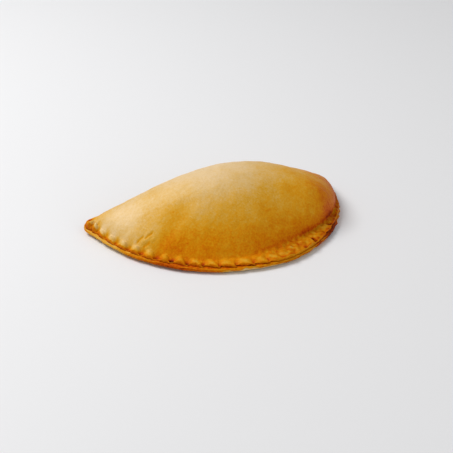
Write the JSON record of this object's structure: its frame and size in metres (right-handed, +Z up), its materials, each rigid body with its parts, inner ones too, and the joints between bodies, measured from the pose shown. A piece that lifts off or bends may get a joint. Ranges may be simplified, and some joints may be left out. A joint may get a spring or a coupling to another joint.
{
  "type": "baked turnover",
  "caption": "Baked half-moon turnover: a domed pocket of dough folded over its filling, with a crimped band of pressed beads along its curved edge.",
  "frame": {"origin": "middle of the turnover's box seen from above, on the surface it rests on", "axes": "+X along the fold, from the pointed nub towards the blunt end; +Y from the crimped arc towards the fold; +Z up"},
  "size_m": [0.1518, 0.0808, 0.0362],
  "materials": {
    "crust": null
  },
  "bodies": {
    "root": {"turnover": "crust"}
  },
  "joints": []
}
